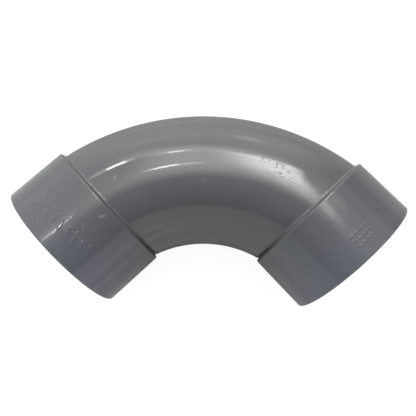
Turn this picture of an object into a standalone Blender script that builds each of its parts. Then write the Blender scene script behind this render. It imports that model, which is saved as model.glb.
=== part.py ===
"""PVC conduit elbow: a 90 degree sweep bend for 110 mm conduit, lying flat on its two sockets.

The elbow is fabricated. A bent tube turns most of the way, and its ends are cut square to the
socket axes, so each weld turns the last few degrees. A plain socket is butt-welded to each end.

Metres, +Z up. The bend lies in a horizontal plane, with its outer side towards +Y and its two
sockets pointing down to the left and right. The origin is on the surface that the elbow rests
on, under the middle of its bounding box.
"""

from math import atan2, cos, pi, radians, sin

import bmesh
import bpy
from mathutils import Matrix, Vector

# Driving dimensions
TUBE_OD = 0.110
TUBE_WALL = 0.0032
BEND_RADIUS = 1.35 * TUBE_OD  # to the tube's centre line
BEND_ANGLE = radians(90)  # between the two socket axes
TUBE_SWEEP = radians(70)  # turned by the tube, and the rest by the two welds

SOCKET_OD = 0.1185
SOCKET_LENGTH = 0.050  # of the plain outside, from the shoulder's edge to the mouth
SOCKET_DEPTH = 0.048  # that a conduit goes in
BORE_AT_MOUTH = 0.1106  # the bore tapers, so that the conduit tightens as it goes in
BORE_AT_STOP = 0.1102
LEAD_IN = 0.0008  # widening of the bore at the mouth
LEAD_IN_LENGTH = 0.002
MOUTH_ROUND = 0.0012  # radius of the mouth's outer edge

SHOULDER_DROP = 0.0030  # the shoulder slopes in by this much ...
SHOULDER_LENGTH = 0.0022  # ... over this length
SHOULDER_ROUND = 0.0013  # radius of the shoulder's outer edge
WELD_THICKNESS = 0.0015  # of the weld ring between the tube and the socket
WELD_RADIUS = 0.0560  # of the weld ring's crown
FACE_GAP = 0.0003  # left between pieces that touch

MARK_HEIGHT = 0.0004  # that the moulded marks stand out of a socket by
MARK_ROOT = 0.0010  # that they start under its surface
TALLY_BARS = 9  # round the left socket, long and short by turns
TALLY_PITCH = radians(6.5)
TALLY_MIDDLE = radians(5)  # from the top of the socket, towards the inside of the bend
TALLY_HEIGHT = 0.0305  # from the shoulder's edge to the middle of the bars
TALLY_LEAN = radians(18)
TALLY_WIDTH = 0.0015
TALLY_LENGTHS = (0.0095, 0.0065)
DASH_ROWS = 3  # on the right socket
DASHES_IN_ROW = 4
DASH_SIZE = (0.0026, 0.0010)  # round the socket, and along it
DASH_PITCH = (radians(4.4), 0.0042)
DASH_MIDDLE = (radians(-1), 0.035)  # from the top, and from the shoulder's edge

# Fineness
SIDES = 64  # round each socket, weld and tube section
SWEEP_STEPS = 20  # along the tube
ROUND_STEPS = 4  # along each rounded edge

# Worked out from the driving dimensions
TUBE_RADIUS = TUBE_OD / 2
TUBE_BORE = TUBE_RADIUS - TUBE_WALL
SOCKET_RADIUS = SOCKET_OD / 2
AXIS_SLOPE = BEND_ANGLE / 2  # of each socket axis, below the X axis
HALF_SWEEP = TUBE_SWEEP / 2
MESH_MERGE = 0.00001

SIDES_OF_BEND = {"left": -1, "right": 1}


def socket_axis(side):
    """Unit vector along a socket, from the bend out through the mouth."""
    return Vector((side * cos(AXIS_SLOPE), -sin(AXIS_SLOPE), 0))


def shoulder_centre(side):
    """Where the bend's centre line meets a socket's axis: the middle of the shoulder's edge."""
    return BEND_RADIUS * Vector((side * sin(HALF_SWEEP), cos(HALF_SWEEP), 0))


def bend_centre():
    """The bend's centre of curvature, placed so that the bounding box is centred on the origin."""
    top = BEND_RADIUS + TUBE_RADIUS
    mouth = shoulder_centre(1) + SOCKET_LENGTH * socket_axis(1)
    corner_y = mouth.y - (SOCKET_RADIUS - MOUTH_ROUND) * cos(AXIS_SLOPE)
    bottom = corner_y + MOUTH_ROUND * (sin(AXIS_SLOPE) - 1)
    return Vector((0, -(top + bottom) / 2, SOCKET_RADIUS))


def clear_scene():
    """Remove every object that is already in the scene."""
    for obj in list(bpy.data.objects):
        bpy.data.objects.remove(obj, do_unlink=True)


def new_collection(name):
    """A new collection in the scene."""
    made = bpy.data.collections.new(name)
    bpy.context.scene.collection.children.link(made)
    return made


def plastic(name, colour, roughness):
    """A moulded plastic material with one colour."""
    made = bpy.data.materials.new(name)
    made.use_nodes = True
    shader = made.node_tree.nodes["Principled BSDF"]
    shader.inputs["Base Color"].default_value = (*colour, 1)
    shader.inputs["Roughness"].default_value = roughness
    shader.inputs["Metallic"].default_value = 0
    return made


def arc(centre, radius, start, end):
    """Points of an arc in a turned outline, as (distance from the axis, height)."""
    points = []
    for step in range(ROUND_STEPS + 1):
        angle = start + (end - start) * step / ROUND_STEPS
        points.append((centre[0] + radius * cos(angle), centre[1] + radius * sin(angle)))
    return points


def outline_mesh(name, outline):
    """A closed outline, standing on the XZ plane, that a Screw modifier can turn about Z."""
    mesh = bpy.data.meshes.new(name)
    count = len(outline)
    edges = [(i, (i + 1) % count) for i in range(count)]
    mesh.from_pydata([(r, 0, z) for r, z in outline], edges, [])
    return mesh


def add_screw(obj, angle, steps):
    """Turn the object's outline about its own Z axis."""
    screw = obj.modifiers.new("turn", "SCREW")
    screw.angle = angle
    screw.steps = screw.render_steps = steps
    screw.use_merge_vertices = True
    screw.merge_threshold = MESH_MERGE
    return screw


def shaded_mesh(obj):
    """The object's mesh with its modifiers applied, shaded smooth between its sharp edges."""
    depsgraph = bpy.context.evaluated_depsgraph_get()
    mesh = bpy.data.meshes.new_from_object(obj.evaluated_get(depsgraph))
    mesh.shade_smooth()
    mesh.set_sharp_from_angle(angle=radians(30))
    return mesh


def turned_mesh(name, outline, material, scratch):
    """The mesh of a whole turned piece, from its outline."""
    obj = bpy.data.objects.new(name, outline_mesh(name, outline))
    scratch.objects.link(obj)
    add_screw(obj, 2 * pi, SIDES)
    mesh = shaded_mesh(obj)
    bpy.data.objects.remove(obj)
    mesh.name = name
    mesh.materials.append(material)
    return mesh


def socket_outline():
    """The socket's section. Height 0 is the shoulder's edge, and the mouth is at the top."""
    mouth_centre = (SOCKET_RADIUS - MOUTH_ROUND, SOCKET_LENGTH - MOUTH_ROUND)
    shoulder_edge_centre = (SOCKET_RADIUS - SHOULDER_ROUND, 0)
    shoulder_slope = atan2(SHOULDER_DROP, SHOULDER_LENGTH)
    stop = SOCKET_LENGTH - SOCKET_DEPTH
    return [
        *arc(mouth_centre, MOUTH_ROUND, pi / 2, 0),
        *arc(shoulder_edge_centre, SHOULDER_ROUND, 0, -shoulder_slope),
        (SOCKET_RADIUS - SHOULDER_DROP, -SHOULDER_LENGTH),
        (TUBE_BORE, -SHOULDER_LENGTH),
        (TUBE_BORE, stop),
        (BORE_AT_STOP / 2, stop),
        (BORE_AT_MOUTH / 2, SOCKET_LENGTH - LEAD_IN_LENGTH),
        (BORE_AT_MOUTH / 2 + LEAD_IN, SOCKET_LENGTH),
    ]


def tally_bars():
    """The left socket's marks, as (angle from the top, height, width, length, lean)."""
    for bar in range(TALLY_BARS):
        angle = TALLY_MIDDLE + (bar - (TALLY_BARS - 1) / 2) * TALLY_PITCH
        yield angle, TALLY_HEIGHT, TALLY_WIDTH, TALLY_LENGTHS[bar % 2], TALLY_LEAN


def dashes():
    """The right socket's marks, as (angle from the top, height, width, length, lean)."""
    for row in range(DASH_ROWS):
        height = DASH_MIDDLE[1] + (row - (DASH_ROWS - 1) / 2) * DASH_PITCH[1]
        for dash in range(DASHES_IN_ROW):
            angle = DASH_MIDDLE[0] + (dash - (DASHES_IN_ROW - 1) / 2) * DASH_PITCH[0]
            yield angle, height, *DASH_SIZE, 0


def weld_outline():
    """The weld ring's section, with a round crown standing a little proud of the tube."""
    top = -SHOULDER_LENGTH - FACE_GAP
    half = WELD_THICKNESS / 2
    crown = arc((WELD_RADIUS - half, top - half), half, pi / 2, -pi / 2)
    return [*crown, (TUBE_BORE, top - WELD_THICKNESS), (TUBE_BORE, top)]


def tube_end():
    """How far before the shoulder's edge the bent tube ends, along the socket's axis."""
    return SHOULDER_LENGTH + WELD_THICKNESS + 2 * FACE_GAP


def add_end_cutter(side, frame, cutters):
    """A block that trims one end of the tube square to the socket's axis."""
    size = 1.5 * TUBE_OD
    bpy.ops.mesh.primitive_cube_add(size=size)
    cutter = bpy.context.object
    cutter.name = "end_cutter_" + ("left" if side < 0 else "right")
    for holder in list(cutter.users_collection):
        holder.objects.unlink(cutter)
    cutters.objects.link(cutter)
    cutter.parent = frame
    axis = socket_axis(side)
    cutter.location = shoulder_centre(side) + (size / 2 - tube_end()) * axis
    cutter.rotation_euler = axis.to_track_quat("Z", "Y").to_euler()
    cutter.display_type = "WIRE"
    cutter.hide_render = True
    return cutter


def add_bend_tube(frame, parts, cutters, material):
    """The bent tube: a circle swept about the bend's centre, thickened inwards and trimmed."""
    mesh = bpy.data.meshes.new("bend_tube")
    section = bmesh.new()
    bmesh.ops.create_circle(section, segments=SIDES, radius=TUBE_RADIUS)
    section.to_mesh(mesh)
    section.free()
    for vertex in mesh.vertices:
        across, up, _ = vertex.co
        vertex.co = (BEND_RADIUS + across, 0, up)

    tube = bpy.data.objects.new("bend_tube", mesh)
    parts.objects.link(tube)
    tube.parent = frame
    spare = radians(5)  # at each end, for the cutters to take off
    sweep = TUBE_SWEEP + 2 * spare
    tube.rotation_euler.z = pi / 2 - sweep / 2
    add_screw(tube, sweep, SWEEP_STEPS)
    shell = tube.modifiers.new("wall", "SOLIDIFY")
    shell.thickness = TUBE_WALL
    shell.offset = -1
    shell.use_even_offset = True
    for name, side in SIDES_OF_BEND.items():
        trim = tube.modifiers.new("trim_" + name, "BOOLEAN")
        trim.operation = "DIFFERENCE"
        trim.solver = "EXACT"
        trim.object = add_end_cutter(side, frame, cutters)
    mesh.materials.append(material)
    return tube


def add_marks(socket, marks, cutters):
    """Joins raised bars to a socket. Its top is the local +Y side."""
    bars = bmesh.new()
    depth = MARK_HEIGHT + MARK_ROOT
    middle = SOCKET_RADIUS + MARK_HEIGHT - depth / 2
    for angle, height, width, length, lean in marks:
        place = Matrix.Rotation(-angle, 4, "Z") @ Matrix.Translation((0, middle, height))
        turned = place @ Matrix.Rotation(lean, 4, "Y")
        size = Matrix.Diagonal((width, depth, length, 1))
        bmesh.ops.create_cube(bars, size=1, matrix=turned @ size)
    mesh = bpy.data.meshes.new(socket.name + "_marks")
    bars.to_mesh(mesh)
    bars.free()
    helper = bpy.data.objects.new(mesh.name, mesh)
    cutters.objects.link(helper)
    helper.parent = socket
    helper.display_type = "WIRE"
    helper.hide_render = True
    join = socket.modifiers.new("marks", "BOOLEAN")
    join.operation = "UNION"
    join.solver = "EXACT"
    join.object = helper


def add_on_axis(name, mesh, side, frame, parts):
    """A turned piece on one socket's axis, with height 0 at the shoulder's edge."""
    obj = bpy.data.objects.new(name, mesh)
    parts.objects.link(obj)
    obj.parent = frame
    obj.location = shoulder_centre(side)
    obj.rotation_euler = socket_axis(side).to_track_quat("Z", "Y").to_euler()
    return obj


MARKS = {"left": tally_bars, "right": dashes}


def main():
    clear_scene()
    parts = new_collection("pvc_conduit_elbow")
    cutters = new_collection("cutters_and_helpers")
    grey_pvc = plastic("grey_pvc", (0.076, 0.08, 0.082), 0.12)
    weld_pvc = plastic("weld_pvc", (0.08, 0.084, 0.086), 0.16)

    frame = bpy.data.objects.new("bend_centre", None)
    frame.location = bend_centre()
    parts.objects.link(frame)

    add_bend_tube(frame, parts, cutters, grey_pvc)
    socket_mesh = turned_mesh("socket", socket_outline(), grey_pvc, parts)
    weld_mesh = turned_mesh("weld_ring", weld_outline(), weld_pvc, parts)
    for name, side in SIDES_OF_BEND.items():
        socket = add_on_axis(name + "_socket", socket_mesh, side, frame, parts)
        add_marks(socket, MARKS[name](), cutters)
        add_on_axis(name + "_weld_ring", weld_mesh, side, frame, parts)


main()
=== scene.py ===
"""The looks of the conduit elbow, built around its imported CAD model.

Every piece of the CAD model is replaced by a fine surface of the same size: the bent tube, the
two sockets with their moulded marks, and the two weld rings. Metres, +Z up, in the CAD's frame.
"""

from math import atan2, cos, pi, radians, sin

import bpy
import numpy as np
from mathutils import Matrix, Vector


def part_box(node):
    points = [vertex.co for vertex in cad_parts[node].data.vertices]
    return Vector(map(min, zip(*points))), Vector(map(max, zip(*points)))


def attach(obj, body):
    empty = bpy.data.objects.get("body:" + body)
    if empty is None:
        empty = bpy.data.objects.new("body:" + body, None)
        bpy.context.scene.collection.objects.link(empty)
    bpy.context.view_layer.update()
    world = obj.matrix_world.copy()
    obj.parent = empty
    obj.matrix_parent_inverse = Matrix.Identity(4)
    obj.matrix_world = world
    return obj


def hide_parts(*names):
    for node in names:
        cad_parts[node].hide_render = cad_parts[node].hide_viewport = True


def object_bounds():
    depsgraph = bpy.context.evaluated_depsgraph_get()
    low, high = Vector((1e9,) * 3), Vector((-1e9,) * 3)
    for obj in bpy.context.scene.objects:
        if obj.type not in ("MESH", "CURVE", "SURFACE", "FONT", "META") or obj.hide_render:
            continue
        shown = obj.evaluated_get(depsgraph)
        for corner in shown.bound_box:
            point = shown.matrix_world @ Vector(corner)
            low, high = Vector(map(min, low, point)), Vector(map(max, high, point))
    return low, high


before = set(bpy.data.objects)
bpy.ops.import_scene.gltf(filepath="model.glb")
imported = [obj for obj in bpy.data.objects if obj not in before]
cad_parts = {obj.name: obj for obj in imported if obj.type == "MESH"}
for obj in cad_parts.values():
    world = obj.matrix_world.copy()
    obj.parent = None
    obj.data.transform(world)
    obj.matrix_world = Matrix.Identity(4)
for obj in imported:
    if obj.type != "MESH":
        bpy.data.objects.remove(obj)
cad_box = [list(corner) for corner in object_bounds()]

MM = 0.001

# Driving dimensions, as in the CAD model
TUBE_RADIUS = 55 * MM
TUBE_BORE = TUBE_RADIUS - 3.2 * MM
BEND_RADIUS = 148.5 * MM
HALF_SWEEP = radians(35)
AXIS_SLOPE = radians(45)
SOCKET_RADIUS = 59.25 * MM
SOCKET_LENGTH = 50 * MM
SOCKET_DEPTH = 48 * MM
BORE_AT_MOUTH = 55.3 * MM
BORE_AT_STOP = 55.1 * MM
LEAD_IN = 0.8 * MM
LEAD_IN_LENGTH = 2 * MM
MOUTH_ROUND = 1.2 * MM
SHOULDER_DROP = 3.0 * MM
SHOULDER_LENGTH = 2.2 * MM
SHOULDER_ROUND = 1.3 * MM
WELD_THICKNESS = 1.5 * MM
FACE_GAP = 0.3 * MM

# The bead of weld. It runs a little way onto its neighbours, so that no gap shows, and its edges lie
# under their surfaces. Its round top is a crown over the slope between its edges.
BEAD_OVERLAP = 0.3 * MM
BEAD_SINK = 0.25 * MM
BEAD_CROWN = 0.36 * MM
BEAD_WIDTH = 1.3 * MM
BEAD_SLOPE_SHARE = 0.6

# How the crown's height ripples round the bead, as (share of its height, ripples in a turn). The
# wide ripples also wander to and fro, as (angle, times in a turn).
WIDE_RIPPLE = (0.18, 23)
NARROW_RIPPLE = (0.1, 61)
RIPPLE_WANDER = (1.3, 5)

# The raised marks: tally bars on the left socket and rows of dashes on the right one
MARK_HEIGHT = 0.4 * MM
MARK_EDGE = 0.25 * MM
MARK_ROUND_SHARE = 0.4
TALLY_BARS = 9
TALLY_PITCH = radians(6.5)
TALLY_MIDDLE = radians(5)
TALLY_HEIGHT = 30.5 * MM
TALLY_LEAN = radians(18)
TALLY_WIDTH = 1.5 * MM
TALLY_LENGTHS = (9.5 * MM, 6.5 * MM)
DASH_ROWS = 3
DASHES_IN_ROW = 4
DASH_SIZE = (2.6 * MM, 1.0 * MM)
DASH_PITCH = (radians(4.4), 4.2 * MM)
DASH_MIDDLE = (radians(-1), 35 * MM)

# How finely the pieces are made
MARKED_REACH = radians(38)
FINE_COLUMNS = 300
COARSE_COLUMNS = 170
MOUTH_STEPS = 8
WALL_STEPS = 190
SHOULDER_STEPS = 5
SLOPE_STEPS = 4
BORE_STEPS = 12
LEAD_IN_STEPS = 2
BEAD_COLUMNS = 480
BEAD_ROWS = 25
TUBE_COLUMNS = 256
TUBE_ROWS = 170
SHARP_ANGLE = radians(35)
TOLERANCE = 0.01 * MM
SOLVER_PASSES = 12

SIDES = {"left": -1, "right": 1}

# Where each piece starts along the imagined straight pipe that its pattern is laid out on, in
# metres, so that no two pieces share a pattern
PIECE_PLACES = {
    "bend_tube": 0.0,
    "left_socket": 1.0,
    "right_socket": 2.0,
    "left_weld_ring": 3.0,
    "right_weld_ring": 4.0,
}

# Places that come from the frame
BEND_CENTRE = Vector((
    0,
    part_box("bend_tube")[1].y - BEND_RADIUS - TUBE_RADIUS,
    (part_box("bend_tube")[0].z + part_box("bend_tube")[1].z) / 2,
))


def socket_axis(side):
    """Unit vector along a socket, from the bend out through the mouth."""
    return Vector((side * cos(AXIS_SLOPE), -sin(AXIS_SLOPE), 0))


def shoulder_centre(side):
    """Where the bend's centre line meets a socket's axis."""
    return BEND_CENTRE + BEND_RADIUS * Vector((side * sin(HALF_SWEEP), cos(HALF_SWEEP), 0))


def socket_matrix(side):
    """Turned pieces are made along +Z with their top at +Y, and this puts one on a socket's axis."""
    along = socket_axis(side)
    top = Vector((0, 0, 1))
    across = top.cross(along)
    turn = Matrix((across, top, along)).transposed().to_4x4()
    return Matrix.Translation(shoulder_centre(side)) @ turn


# ---------------------------------------------------------------- meshes


def grid_mesh(name, points):
    """A smooth closed mesh from a grid of points, whose rows and columns both close into rings."""
    rows, columns = points.shape[:2]
    index = np.arange(rows * columns).reshape(rows, columns)
    after = np.roll(index, -1, axis=1)
    below, below_after = np.roll(index, -1, axis=0), np.roll(after, -1, axis=0)
    faces = np.stack([index, below, below_after, after], axis=-1).reshape(-1, 4)
    mesh = bpy.data.meshes.new(name)
    mesh.from_pydata(points.reshape(-1, 3).tolist(), [], faces.tolist())
    mesh.shade_smooth()
    return mesh


def arc(centre, radius, start, end, steps):
    """Points of an arc in a turned outline, as (distance from the axis, height)."""
    angles = np.linspace(start, end, steps + 1)
    return [(centre[0] + radius * cos(a), centre[1] + radius * sin(a)) for a in angles]


def run(start, end, steps):
    """Points of a straight run in a turned outline, without its two ends."""
    share = np.linspace(0, 1, steps + 1)[1:-1]
    return [(start[0] + t * (end[0] - start[0]), start[1] + t * (end[1] - start[1])) for t in share]


def turned_points(outline, angles):
    """The grid of points of a closed outline turned about Z. Angle 0 is at the top, +Y."""
    radius, height = np.array(outline).T
    across = np.outer(radius, np.sin(angles))
    up = np.outer(radius, np.cos(angles))
    along = np.repeat(height[:, None], len(angles), axis=1)
    return np.stack([across, up, along], axis=-1)


def bar_cover(angle, height, bar):
    """How far a bar rises at each point of a socket's outside, from 0 to 1."""
    bar_angle, bar_height, width, length, lean = bar
    across = (angle - bar_angle) * SOCKET_RADIUS
    along = height - bar_height
    u = across * cos(lean) - along * sin(lean)
    v = across * sin(lean) + along * cos(lean)
    corner = MARK_ROUND_SHARE * min(width, length)
    du = np.abs(u) - width / 2 + corner
    dv = np.abs(v) - length / 2 + corner
    outside = np.hypot(np.maximum(du, 0), np.maximum(dv, 0)) + np.minimum(np.maximum(du, dv), 0)
    share = np.clip((corner - outside) / MARK_EDGE + 0.5, 0, 1)
    return share * share * (3 - 2 * share)


def tally_bars():
    """The left socket's marks, as (angle from the top, height, width, length, lean)."""
    for bar in range(TALLY_BARS):
        angle = TALLY_MIDDLE + (bar - (TALLY_BARS - 1) / 2) * TALLY_PITCH
        yield angle, TALLY_HEIGHT, TALLY_WIDTH, TALLY_LENGTHS[bar % 2], TALLY_LEAN


def dashes():
    """The right socket's marks, as (angle from the top, height, width, length, lean)."""
    for row in range(DASH_ROWS):
        height = DASH_MIDDLE[1] + (row - (DASH_ROWS - 1) / 2) * DASH_PITCH[1]
        for dash in range(DASHES_IN_ROW):
            angle = DASH_MIDDLE[0] + (dash - (DASHES_IN_ROW - 1) / 2) * DASH_PITCH[0]
            yield angle, height, *DASH_SIZE, 0


MARKS = {"left": tally_bars, "right": dashes}


def socket_outline():
    """The socket's section. Height 0 is the shoulder's edge, and the mouth is at the top."""
    slope = atan2(SHOULDER_DROP, SHOULDER_LENGTH)
    mouth = (SOCKET_RADIUS - MOUTH_ROUND, SOCKET_LENGTH - MOUTH_ROUND)
    shoulder = (SOCKET_RADIUS - SHOULDER_ROUND, 0)
    foot = (SOCKET_RADIUS - SHOULDER_DROP, -SHOULDER_LENGTH)
    stop = SOCKET_LENGTH - SOCKET_DEPTH
    lead = (BORE_AT_MOUTH, SOCKET_LENGTH - LEAD_IN_LENGTH)
    rim = (BORE_AT_MOUTH + LEAD_IN, SOCKET_LENGTH)
    mouth_arc = arc(mouth, MOUTH_ROUND, pi / 2, 0, MOUTH_STEPS)
    shoulder_arc = arc(shoulder, SHOULDER_ROUND, 0, -slope, SHOULDER_STEPS)
    wall = run(mouth_arc[-1], shoulder_arc[0], WALL_STEPS)
    return [
        *mouth_arc,
        *wall,
        *shoulder_arc,
        *run(shoulder_arc[-1], foot, SLOPE_STEPS),
        foot,
        (TUBE_BORE, -SHOULDER_LENGTH),
        (TUBE_BORE, stop),
        (BORE_AT_STOP, stop),
        *run((BORE_AT_STOP, stop), lead, BORE_STEPS),
        lead,
        rim,
        *run(rim, mouth_arc[0], LEAD_IN_STEPS),
    ]


def socket_angles():
    """Angles round a socket, close together over the marks."""
    fine = np.linspace(-MARKED_REACH, MARKED_REACH, FINE_COLUMNS, endpoint=False)
    coarse = np.linspace(MARKED_REACH, 2 * pi - MARKED_REACH, COARSE_COLUMNS, endpoint=False)
    return np.concatenate([fine, coarse])


def make_socket(name, material):
    """A socket, with its moulded marks raised from its outside."""
    side = SIDES[name]
    angles = socket_angles()
    points = turned_points(socket_outline(), angles)
    turned = (angles + pi) % (2 * pi) - pi
    height = points[..., 2]
    rise = np.zeros(height.shape)
    for bar in MARKS[name]():
        rise = np.maximum(rise, bar_cover(turned[None, :], height, bar))
    radius = np.hypot(points[..., 0], points[..., 1])
    outside = np.abs(radius - SOCKET_RADIUS) < TOLERANCE
    grown = 1 + np.where(outside, rise * MARK_HEIGHT / SOCKET_RADIUS, 0)
    points[..., 0] *= grown
    points[..., 1] *= grown
    make_turned(name + "_socket_shell", points, side, material, name + "_socket")


def tube_rim(angles, side, depth):
    """How far the tube's outside is from a socket's axis, on a plane this far behind its shoulder."""
    outward, up = np.sin(angles) * side, np.cos(angles)
    axial = BEND_RADIUS * sin(AXIS_SLOPE - HALF_SWEEP) + depth
    lateral = BEND_RADIUS * cos(AXIS_SLOPE - HALF_SWEEP)
    reach = np.full(angles.shape, TUBE_RADIUS)
    for _ in range(SOLVER_PASSES):
        from_centre = np.hypot(axial, lateral + reach * outward) - BEND_RADIUS
        reach *= TUBE_RADIUS / np.hypot(from_centre, reach * up)
    return reach


def make_weld(name, material):
    """The bead of weld that runs from the foot of the shoulder over the tube's end."""
    side = SIDES[name]
    angles = np.linspace(0, 2 * pi, BEAD_COLUMNS, endpoint=False)
    start = SHOULDER_LENGTH - BEAD_OVERLAP
    end = SHOULDER_LENGTH + WELD_THICKNESS + 2 * FACE_GAP + BEAD_OVERLAP
    foot = SOCKET_RADIUS - SHOULDER_DROP - BEAD_SINK
    rim = tube_rim(angles, side, end) - BEAD_SINK
    wander = RIPPLE_WANDER[0] * np.sin(RIPPLE_WANDER[1] * angles)
    ripple = 1 + WIDE_RIPPLE[0] * np.sin(WIDE_RIPPLE[1] * angles + wander)
    ripple = ripple + NARROW_RIPPLE[0] * np.sin(NARROW_RIPPLE[1] * angles)
    crest = SHOULDER_LENGTH + FACE_GAP + WELD_THICKNESS - BEAD_WIDTH / 2
    rows = []
    for depth in np.linspace(start, end, BEAD_ROWS):
        share = (depth - start) / (end - start)
        slope = min(1, share / BEAD_SLOPE_SHARE)
        across = min(1, abs(depth - crest) / (BEAD_WIDTH / 2))
        crown = BEAD_CROWN * ripple * cos(pi / 2 * across) ** 2
        radius = foot + (rim - foot) * slope * slope * (3 - 2 * slope) + crown
        rows.append((radius, np.full(angles.shape, -depth)))
    bore = np.full(angles.shape, TUBE_BORE)
    rows.append((bore, np.full(angles.shape, -SHOULDER_LENGTH - FACE_GAP - WELD_THICKNESS)))
    rows.append((bore, np.full(angles.shape, -SHOULDER_LENGTH - FACE_GAP)))
    points = np.array([
        np.stack([radius * np.sin(angles), radius * np.cos(angles), height], axis=-1)
        for radius, height in rows
    ])
    make_turned(name + "_weld_bead", points, side, material, name + "_weld_ring")


def lay_pattern(mesh, node, straight, **shares):
    """Stores the place on the straight pipe that the pattern follows, and shares, at each point."""
    straight = straight.reshape(-1, 3) + np.array((0, 0, PIECE_PLACES[node]))
    layer = mesh.attributes.new("straight", "FLOAT_VECTOR", "POINT")
    layer.data.foreach_set("vector", straight.astype(np.float32).ravel())
    for name, share in shares.items():
        layer = mesh.attributes.new(name, "FLOAT", "POINT")
        layer.data.foreach_set("value", share.astype(np.float32).ravel())


def make_turned(piece, points, side, material, node):
    """A turned piece from its points, put on its socket's axis. Its mouth share grows towards the
    socket's mouth, and its share of painted reflection, which makes its colour lighter and bluer,
    also grows towards the inner side of the bend."""
    mesh = grid_mesh(piece, points)
    mouth = np.clip(points[..., 2] / SOCKET_LENGTH, 0, 1)
    inner = 0.5 - 0.5 * side * points[..., 0] / np.hypot(points[..., 0], points[..., 1])
    # The painted reflection grows towards the mouth and towards the inner side of the bend
    lay_pattern(mesh, node, points, mouth=mouth, film=mouth * inner ** 1.5)
    mesh.transform(socket_matrix(side))
    mesh.set_sharp_from_angle(angle=SHARP_ANGLE)
    place(piece, mesh, material, node)


def place(piece, mesh, material, node):
    """Puts a piece in the scene. It stands for a CAD node and rides on its body."""
    mesh.materials.append(material)
    obj = bpy.data.objects.new(piece, mesh)
    bpy.context.scene.collection.objects.link(obj)
    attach(obj, "root")
    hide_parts(node)


def tube_points(radius):
    """The bent tube's surface at a section radius, out to the planes that its ends are cut on, and
    the same points with the bend straightened."""
    cut = SHOULDER_LENGTH + WELD_THICKNESS + 2 * FACE_GAP
    offset = cut + BEND_RADIUS * sin(AXIS_SLOPE - HALF_SWEEP)
    section = np.linspace(0, 2 * pi, TUBE_COLUMNS, endpoint=False)
    distance = BEND_RADIUS + radius * np.sin(section)
    reach = AXIS_SLOPE - np.arcsin(offset / distance)
    share = np.linspace(-1, 1, TUBE_ROWS)
    turn = share[:, None] * reach[None, :]
    up = np.broadcast_to(radius * np.cos(section), turn.shape)
    out = np.broadcast_to(radius * np.sin(section), turn.shape)
    points = np.stack([distance * np.sin(turn), distance * np.cos(turn), up], axis=-1)
    return points + np.array(BEND_CENTRE), np.stack([out, up, turn * BEND_RADIUS], axis=-1)


def make_tube(material):
    """The bent tube, outside and inside, with its square ends."""
    outside, straight_outside = tube_points(TUBE_RADIUS)
    inside, straight_inside = tube_points(TUBE_BORE)
    mesh = grid_mesh("bend_tube_shell", np.concatenate([outside, inside[::-1]]))
    straight = np.concatenate([straight_outside, straight_inside[::-1]])
    none = np.zeros(straight.shape[:2])
    lay_pattern(mesh, "bend_tube", straight, mouth=none, film=none)
    mesh.set_sharp_from_angle(angle=SHARP_ANGLE)
    place("bend_tube_shell", mesh, material, "bend_tube")


# ------------------------------------------------------------- materials


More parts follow.
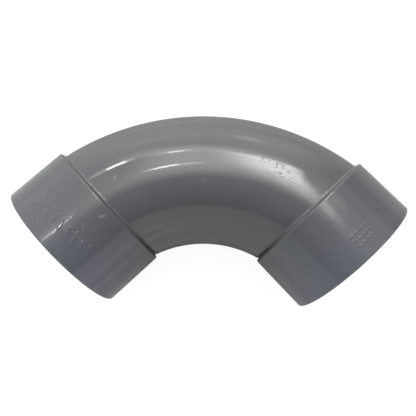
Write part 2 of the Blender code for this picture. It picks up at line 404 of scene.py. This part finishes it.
class Recipe:
    """Short names for the nodes that a shader is worked out with."""

    def __init__(self, tree):
        self.tree = tree

    def node(self, kind, **settings):
        """A new node, with its settings."""
        made = self.tree.nodes.new(kind)
        for name, value in settings.items():
            setattr(made, name, value)
        return made

    def put(self, socket, value):
        """Gives an input another node's output, a colour or a number."""
        if isinstance(value, bpy.types.NodeSocket):
            self.tree.links.new(value, socket)
        elif isinstance(value, tuple) and len(value) == 3 and len(socket.default_value) == 4:
            socket.default_value = (*value, 1)
        else:
            socket.default_value = value

    def math(self, operation, *values):
        """The result of one sum."""
        made = self.node("ShaderNodeMath", operation=operation)
        for socket, value in zip(made.inputs, values):
            self.put(socket, value)
        return made.outputs[0]

    def ramp(self, value, start, end):
        """A smooth change from 0, where the value is at start, to 1, where it is at end."""
        made = self.node("ShaderNodeMapRange", interpolation_type="SMOOTHSTEP")
        for socket, given in zip(made.inputs, (value, start, end)):
            self.put(socket, given)
        return made.outputs["Result"]

    def product(self, *values):
        """All the values multiplied together."""
        total = values[0]
        for value in values[1:]:
            total = self.math("MULTIPLY", total, value)
        return total

    def mix(self, share, first, second, kind="MIX"):
        """A colour between two colours, or the second laid on the first in another way."""
        made = self.node("ShaderNodeMix", data_type="RGBA", blend_type=kind)
        self.put(made.inputs[0], share)
        self.put(made.inputs[6], first)
        self.put(made.inputs[7], second)
        return made.outputs[2]

    def grey(self, value):
        """The same value in all three channels."""
        made = self.node("ShaderNodeCombineColor")
        for socket in made.inputs:
            self.put(socket, value)
        return made.outputs[0]

    def times(self, first, second):
        """Two colours multiplied together."""
        return self.mix(1.0, first, second, "MULTIPLY")

    def glow(self, first, share, colour):
        """A colour with a share of another added."""
        return self.mix(share, first, colour, "ADD")

    def stored(self, name, kind="Fac"):
        """What a mesh stores under a name."""
        return self.node("ShaderNodeAttribute", attribute_name=name).outputs[kind]

    def seen(self):
        """1 where the camera looks straight at something, and 0 in a reflection or as light."""
        return self.node("ShaderNodeLightPath").outputs["Is Camera Ray"]

    def parts(self, vector):
        """The three parts of a place or a direction."""
        made = self.node("ShaderNodeSeparateXYZ")
        self.put(made.inputs[0], vector)
        return made.outputs

    def noise(self, vector, scale, detail=2.0):
        """Smooth noise with this many waves to the metre, from -1 to 1 at the most."""
        made = self.node("ShaderNodeTexNoise")
        self.put(made.inputs["Vector"], vector)
        self.put(made.inputs["Scale"], scale)
        self.put(made.inputs["Detail"], detail)
        return self.math("MULTIPLY_ADD", made.outputs["Fac"], 2.0, -1.0)

    def stretched(self, vector, sizes):
        """A place scaled by its own share along each axis."""
        made = self.node("ShaderNodeVectorMath", operation="MULTIPLY")
        self.put(made.inputs[0], vector)
        made.inputs[1].default_value = sizes
        return made.outputs[0]

    def specks(self, vector, scale, size, share):
        """Small round specks, one to a cell, in this share of the cells."""
        made = self.node("ShaderNodeTexVoronoi")
        self.put(made.inputs["Vector"], vector)
        self.put(made.inputs["Scale"], scale)
        split = self.node("ShaderNodeSeparateColor")
        self.put(split.inputs[0], made.outputs["Color"])
        round_part = self.ramp(made.outputs["Distance"], size, size * 0.4)
        return self.product(round_part, self.math("LESS_THAN", split.outputs[0], share))

    def spot(self, flat, piece, centre, size, lean):
        """A soft oval patch on a piece's unrolled surface, from its half length and half width."""
        made = self.node("ShaderNodeMapping", vector_type="TEXTURE")
        self.put(made.inputs["Vector"], flat)
        made.inputs["Location"].default_value = (PIECE_PLACES[piece] + centre[0], centre[1], 0)
        made.inputs["Rotation"].default_value = (0, 0, lean)
        made.inputs["Scale"].default_value = (*size, 1)
        length = self.node("ShaderNodeVectorMath", operation="LENGTH")
        self.put(length.inputs[0], made.outputs[0])
        return self.ramp(length.outputs["Value"], 1.0, 0.5)

    def total(self, *values):
        """All the values added together."""
        added = values[0]
        for value in values[1:]:
            added = self.math("ADD", added, value)
        return added


# Marks of handling and one painted highlight, as (piece, place along the straight pipe and round it
# from the top, half length and half width, lean, how pale the plastic is made): a nick, a pale spot
# painted as a lamp's highlight near the left socket's shoulder, a smear and a smudge
RUBS_AND_GLINT = (
    ("bend_tube", (-71.3 * MM, 1.4 * MM), (2.9 * MM, 0.55 * MM), radians(42), 0.3),
    # Painted highlight: a pale spot that stands for a lamp's glint near the left socket's shoulder
    ("left_socket", (5.7 * MM, 18.6 * MM), (3.6 * MM, 1.4 * MM), radians(-22), 0.13),
    ("left_socket", (20.7 * MM, 15.6 * MM), (4 * MM, 0.7 * MM), radians(40), 0.07),
    ("bend_tube", (-4 * MM, -15 * MM), (4 * MM, 3 * MM), 0.0, 0.03),
)
DIRTY_PATCH = ("bend_tube", (50 * MM, 3 * MM), (22 * MM, 10 * MM), radians(-29))

# The two finishes, as (base colour, roughness, depths of the skin's slow waves, of its quick waves
# and of its flow lines)
FINISHES = {
    "grey_pvc": ((0.072, 0.076, 0.078), 0.055, (0.03 * MM, 0.002 * MM, 0.001 * MM)),
    "weld_pvc": ((0.08, 0.084, 0.086), 0.14, (0.03 * MM, 0.02 * MM, 0.0)),
}
PVC_IOR = 1.53
# How much lighter and bluer the painted reflection of the floor makes the colour, towards the mouths
# on the inner side of the bend
PAINTED_REFLECTION_TINT = (1.24, 1.27, 1.58)
DIRT_COLOUR = (0.03, 0.03, 0.03)
# The pale colour of the rubs, and of the painted highlight
RUBBED_AND_GLINT_COLOUR = (0.42, 0.43, 0.44)

# The patterns' waves to the metre, and the specks of dust's cells to the metre
BLOTCH_WAVES = 45
GRAIN_WAVES = 900
LINE_WAVES = 330
LINE_STRETCH = (1, 1, 0.03)
DIRT_WAVES = 420
SCUFF_WAVES = 38
SCRATCH_WAVES = 75
RIM_WAVES = 300
SLOW_WAVES = 60
QUICK_WAVES = 260
DUST_CELLS = 130


def pvc(name):
    """Grey PVC: mottled, with flow lines along the pipe, a painted reflection that makes it lighter
    and bluer towards the mouths, marks of handling with one painted highlight among them, and a wavy
    skin."""
    colour, roughness, (slow_depth, quick_depth, line_depth) = FINISHES[name]
    made = bpy.data.materials.new(name)
    made.use_nodes = True
    make = Recipe(made.node_tree)
    shader = made.node_tree.nodes["Principled BSDF"].inputs

    straight = make.stored("straight", "Vector")
    mouth = make.stored("mouth")
    film = make.stored("film")
    across, top, along = make.parts(straight)
    around = make.math("MULTIPLY", make.math("ARCTAN2", across, top), TUBE_RADIUS)
    flat_node = make.node("ShaderNodeCombineXYZ")
    make.put(flat_node.inputs[0], along)
    make.put(flat_node.inputs[1], around)
    flat = flat_node.outputs[0]

    blotches = make.noise(straight, BLOTCH_WAVES, 3)
    grain = make.noise(straight, GRAIN_WAVES, 2)
    lines = make.noise(make.stretched(straight, LINE_STRETCH), LINE_WAVES, 3)
    # Pale marks: the rubs, and one painted highlight on the left socket
    pale = make.total(*(make.product(make.spot(flat, *rub), share) for *rub, share in RUBS_AND_GLINT))
    patch = make.spot(flat, *DIRTY_PATCH)
    dust = make.specks(straight, DUST_CELLS, 0.09, 0.3)
    dirt = make.product(make.ramp(make.noise(straight, DIRT_WAVES, 3), 0.1, 0.3), patch, 0.7)
    scuffed = make.ramp(make.noise(straight, SCUFF_WAVES, 2), 0.12, 0.4)
    crossings = make.math("ABSOLUTE", make.noise(straight, SCRATCH_WAVES, 3))
    scratches = make.ramp(crossings, 0.012, 0.004)
    scratches = make.product(scratches, make.math("MAXIMUM", scuffed, patch))
    worn_rim = make.ramp(make.noise(straight, RIM_WAVES, 2), -0.3, 0.3)
    rim = make.product(make.ramp(mouth, 0.955, 0.985), worn_rim)

    tone = make.total(
        1.0, make.product(blotches, 0.07), make.product(grain, 0.14), make.product(lines, 0.05),
        make.product(dust, 0.25), make.product(scratches, 0.12), make.product(rim, 0.3),
    )
    # Painted reflection: the colour is made lighter and bluer towards the mouths on the inner side of
    # the bend
    tint = make.mix(film, (1.0, 1.0, 1.0), PAINTED_REFLECTION_TINT)
    grey = make.times(make.times(colour, tint), make.grey(tone))
    grey = make.mix(dirt, grey, DIRT_COLOUR)
    make.put(shader["Base Color"], make.mix(pale, grey, RUBBED_AND_GLINT_COLOUR))

    matt = make.total(
        roughness, make.product(make.ramp(blotches, -0.3, 0.4), 0.02), make.product(scuffed, 0.02),
        make.product(scratches, 0.15), make.product(dirt, 0.3), make.product(rim, 0.15),
        make.product(make.math("MINIMUM", pale, 1.0), 0.3),
    )
    make.put(shader["Roughness"], matt)
    shader["IOR"].default_value = PVC_IOR

    height = make.total(
        make.product(make.noise(straight, SLOW_WAVES, 1), slow_depth),
        make.product(make.noise(straight, QUICK_WAVES, 2), quick_depth),
        make.product(lines, line_depth), make.product(dirt, -0.03 * MM),
        make.product(scratches, -0.01 * MM), make.product(pale, 0.03 * MM),
    )
    bump = make.node("ShaderNodeBump")
    bump.inputs["Distance"].default_value = 1.0
    make.put(bump.inputs["Height"], height)
    make.put(shader["Normal"], bump.outputs["Normal"])
    return made


# ------------------------------------------------------ camera and lights


# The camera's place from the bend's centre, its turns about three axes, and its lens and sensor in
# millimetres
CAMERA_PLACE = Vector((2.97, 51.83, 339.9)) * MM
CAMERA_TURNS = ((radians(0.57), "Y"), (radians(12.01), "X"), (radians(2.11), "Z"))
CAMERA_LENS = 34.9
CAMERA_SENSOR = 36

# The lamps, as (name, direction from the elbow, width and height in radians, how bright it looks).
# They are so far away that every part of the elbow sees them in nearly the same direction.
LAMP_DISTANCE = 20
LAMPS = (
    ("bulb_1", (-0.368, 0.568, 0.737), (0.08, 0.065), 17),
    ("shade_1", (-0.385, 0.56, 0.73), (0.19, 0.09), 2.5),
    ("bulb_2", (-0.136, 0.604, 0.785), (0.055, 0.04), 8.5),
    ("shade_2", (-0.145, 0.604, 0.78), (0.13, 0.05), 1.8),
    ("bulb_3", (-0.1, 0.23, 0.968), (0.05, 0.035), 16),
    ("shade_3", (-0.088, 0.232, 0.968), (0.13, 0.035), 4.5),
    ("bulb_4", (-0.2, 0.018, 0.98), (0.03, 0.014), 10),
    ("bulb_5", (-0.228, 0.001, 0.974), (0.03, 0.014), 80),
    ("bulb_6", (-0.267, 0.0, 0.964), (0.03, 0.014), 10),
)
KEY_PLACE = Vector((-0.7, 1.0, 0.55)) * 1.6
KEY_SIZE = (1.0, 1.0)
KEY_RADIANCE = 3

# The floor. The camera sees a glow, and on it a little scattered light with a soft shadow.
FLOOR_SIZE = 8
FLOOR_ROUGHNESS = 0.9
FLOOR_DIFFUSE = (0.15, 0.15, 0.15)
FLOOR_GLOW = 0.93


def add_camera():
    """A close, wide view from above, tilted a little towards the outer side of the bend."""
    data = bpy.data.cameras.new("camera")
    data.sensor_width = CAMERA_SENSOR
    data.lens = CAMERA_LENS
    camera = bpy.data.objects.new("camera", data)
    bpy.context.scene.collection.objects.link(camera)
    camera.location = BEND_CENTRE + CAMERA_PLACE
    turn, tilt, roll = (Matrix.Rotation(angle, 4, axis) for angle, axis in CAMERA_TURNS)
    camera.rotation_euler = (turn @ tilt @ roll).to_euler()
    bpy.context.scene.camera = camera


def add_area(name, location, target, size, radiance):
    """A soft rectangular light that faces a point. Its power follows from how bright it looks."""
    data = bpy.data.lights.new(name, "AREA")
    data.shape = "RECTANGLE"
    data.size, data.size_y = size
    data.energy = radiance * pi * size[0] * size[1]
    light = bpy.data.objects.new(name, data)
    bpy.context.scene.collection.objects.link(light)
    light.location = location
    light.rotation_euler = (Vector(target) - Vector(location)).to_track_quat("-Z", "Y").to_euler()
    return light


def add_lights():
    """The room's lamps, and a soft key light that the plastic doesn't mirror."""
    top = Vector((0, 0, cad_box[1][2]))
    for name, direction, spread, radiance in LAMPS:
        size = [angle * LAMP_DISTANCE for angle in spread]
        add_area(name, top + Vector(direction).normalized() * LAMP_DISTANCE, top, size, radiance)
    key = add_area("key", top + KEY_PLACE, top, KEY_SIZE, KEY_RADIANCE)
    key.visible_glossy = False


def add_floor():
    """The pale floor that the elbow lies on. It looks evenly white to the camera. The colour that it
    gives back to the elbow, in reflections and bounced light, is painted with light and shade from
    place to place: it is darkest under the bend, dim at the right and in the nook between the
    sockets, and brightest just in front."""
    bpy.ops.mesh.primitive_plane_add(size=FLOOR_SIZE, location=(0, 0, cad_box[0][2]))
    floor = bpy.context.object
    floor.name = "floor"
    made = bpy.data.materials.new("floor")
    made.use_nodes = True
    make = Recipe(made.node_tree)
    seen = make.seen()
    shader = made.node_tree.nodes["Principled BSDF"].inputs
    across, forth = make.parts(make.node("ShaderNodeNewGeometry").outputs["Position"])[:2]
    aside = make.math("ABSOLUTE", across)
    # Painted light and shade on the floor, as the elbow sees it in reflections and bounced light:
    # brightest just in front
    far = make.mix(make.ramp(across, -0.15, 0.25), (0.57, 0.575, 0.57), (0.5, 0.505, 0.5))
    front = make.mix(make.ramp(across, 0.0, 0.14), (0.62, 0.61, 0.61), (0.86, 0.83, 0.86))
    front = make.mix(make.ramp(across, 0.07, 0.18), front, (0.58, 0.57, 0.58))
    front = make.mix(make.ramp(forth, -0.1, -0.3), (0.51, 0.49, 0.47), front)
    # Painted shade on the floor between the two sockets
    nook = make.product(make.ramp(aside, 0.09, 0.03), make.ramp(forth, -0.1, -0.05))
    front = make.mix(nook, front, (0.4, 0.39, 0.38))
    # Painted shadow under the bend, and from there painted light towards the back
    lit = make.mix(make.ramp(forth, 0.0, 0.12), front, (0.27, 0.27, 0.27))
    lit = make.mix(make.ramp(forth, 0.12, 0.36), lit, far)
    # Painted shade at the left and, darker, at the right
    beside = make.ramp(forth, -0.15, -0.03)
    lit = make.mix(make.product(make.ramp(across, -0.16, -0.26), beside), lit, (0.49, 0.5, 0.49))
    lit = make.mix(make.product(make.ramp(across, 0.16, 0.26), beside), lit, (0.36, 0.365, 0.36))
    # Painted light far behind, up to the horizon
    beyond = make.ramp(make.math("SUBTRACT", aside, forth), 0.0, -0.2)
    beyond = make.product(beyond, make.ramp(forth, 0.45, 1.0))
    back = make.mix(make.ramp(across, 0.1, 0.8), (0.66, 0.67, 0.67), (0.5, 0.5, 0.5))
    lit = make.mix(beyond, lit, back)
    make.put(shader["Base Color"], make.mix(seen, lit, FLOOR_DIFFUSE))
    shader["Roughness"].default_value = FLOOR_ROUGHNESS
    shader["Specular IOR Level"].default_value = 0
    shader["Emission Color"].default_value = (1, 1, 1, 1)
    make.put(shader["Emission Strength"], make.math("MULTIPLY", seen, FLOOR_GLOW))
    floor.data.materials.append(made)


def add_world():
    """The room that the plastic mirrors, white to the camera. It is pale behind the bend, with a
    ceiling, a cornice, a window with a blind and a few bright strips, and dark in front above a
    bright low band. A direction's parts are x to the right, y to the back and z up. Each patch is
    a product of ramps, and a ramp fades in from its first number to its second."""
    world = bpy.data.worlds.new("room")
    bpy.context.scene.world = world
    world.use_nodes = True
    make = Recipe(world.node_tree)
    x, y, z = make.parts(make.node("ShaderNodeTexCoord").outputs["Generated"])
    above = make.ramp(z, -0.02, 0.02)

    # The walls behind the bend: in the middle, at the left and, darker, at the right
    behind = make.mix(make.ramp(z, -0.6, 0.5), (0.55, 0.55, 0.55), (1.85, 1.88, 1.85))
    left = make.mix(make.ramp(z, -0.1, 0.2), (0.85, 0.85, 0.87), (1.3, 1.3, 1.35))
    right = make.mix(make.ramp(z, -0.12, 0.06), (0.65, 0.65, 0.65), (0.3, 0.3, 0.32))
    right = make.mix(make.ramp(z, 0.42, 0.6), right, (0.75, 0.75, 0.78))
    push = make.product(make.ramp(z, 0.25, 0.6), 0.13)
    behind = make.mix(make.ramp(make.math("SUBTRACT", x, push), -0.3, -0.7), behind, left)
    push = make.total(push, make.product(make.ramp(z, 0.85, 0.96), 0.15))
    behind = make.mix(make.ramp(make.math("ADD", x, push), 0.35, 0.7), behind, right)

    # In front: a bright low band, a little green at the left, brown in the middle and pink at the
    # right, and the dark above it
    tint = make.mix(make.ramp(x, -0.3, 0.05), (0.58, 0.63, 0.61), (0.78, 0.72, 0.62))
    tint = make.mix(make.ramp(x, 0.1, 0.4), tint, (0.84, 0.8, 0.86))
    low = make.mix(make.ramp(z, -0.97, -0.37), (0.08, 0.08, 0.08), (1.4, 1.4, 1.4))
    low = make.mix(make.ramp(z, 0.0, 0.42), low, (0.95, 0.95, 0.95))
    dark = make.mix(make.ramp(y, -0.85, -0.1), (0.05, 0.06, 0.08), (0.55, 0.56, 0.62))
    ahead = make.mix(make.ramp(z, 0.44, 0.6), make.times(low, tint), dark)
    room = make.mix(make.ramp(y, -0.22, 0.1), ahead, behind)

    # The bright patches. The sides of the ceiling and of the window slant.
    left_edge = make.math("MULTIPLY_ADD", y, 0.2, x)
    right_edge = make.math("MULTIPLY_ADD", y, -0.28, x)
    ceiling = make.product(
        above, make.ramp(y, -0.17, 0.3), make.ramp(y, 0.74, 0.58),
        make.ramp(left_edge, -0.2, -0.02), make.ramp(right_edge, 0.18, 0.09),
    )
    cornice = make.product(
        above, make.ramp(y, 0.54, 0.62), make.ramp(y, 0.78, 0.68),
        make.ramp(x, -0.5, -0.3), make.ramp(x, 0.3, 0.05),
    )
    wave = make.math("SINE", make.product(y, 72.0))
    slats = make.math("MULTIPLY_ADD", wave, 0.5, 1.0)
    window = make.product(
        above, make.ramp(y, 0.0, 0.42), make.ramp(y, 0.63, 0.58),
        make.ramp(x, -0.02, 0.2), make.ramp(right_edge, 0.21, 0.14),
        make.math("MULTIPLY_ADD", wave, 0.14, 1.0),
    )
    strip = make.product(
        make.ramp(z, 0.2, 0.3), make.ramp(z, 0.46, 0.36),
        make.ramp(x, 0.05, 0.18), make.ramp(x, 0.3, 0.2), make.ramp(y, 0.0, 0.3),
    )
    blind = make.product(
        above, make.ramp(y, -0.04, 0.04), make.ramp(y, 0.22, 0.14),
        make.ramp(x, 0.04, 0.14), make.ramp(right_edge, 0.15, 0.07),
        slats,
    )
    sill = make.product(
        above, make.ramp(y, -0.03, 0.06), make.ramp(y, 0.5, 0.3), make.ramp(x, 0.04, 0.14),
        make.ramp(make.math("MULTIPLY_ADD", y, -0.8, x), 0.2, 0.12), slats,
    )
    row = make.product(
        above, make.ramp(y, -0.1, 0.0), make.ramp(y, 0.12, 0.02),
        make.ramp(x, -0.42, -0.3), make.ramp(x, -0.17, -0.25),
    )
    streak = make.product(
        make.ramp(z, 0.25, 0.32), make.ramp(z, 0.4, 0.34),
        make.ramp(x, -0.45, -0.35), make.ramp(x, -0.03, -0.1), make.ramp(y, 0.0, 0.3),
    )
    for patch, brightness in (
        (ceiling, (2.5, 2.5, 2.5)),
        (cornice, (1.1, 1.15, 1.2)),
        (window, (9.4, 8.9, 9.0)),
        (blind, (1.9, 1.4, 1.0)),
        (sill, (0.95, 0.9, 0.9)),
        (strip, (1.2, 1.1, 1.0)),
        (row, (1.3, 1.3, 1.3)),
        (streak, (0.4, 0.4, 0.4)),
    ):
        room = make.glow(room, patch, brightness)
    background = world.node_tree.nodes["Background"].inputs["Color"]
    make.put(background, make.mix(make.seen(), room, (1.0, 1.0, 1.0)))


def main():
    grey = pvc("grey_pvc")
    weld = pvc("weld_pvc")
    make_tube(grey)
    for name in SIDES:
        make_socket(name, grey)
        make_weld(name, weld)
    add_camera()
    add_floor()
    add_world()
    add_lights()


main()

bpy.context.scene.view_settings.view_transform = "Standard"
bpy.context.view_layer.update()
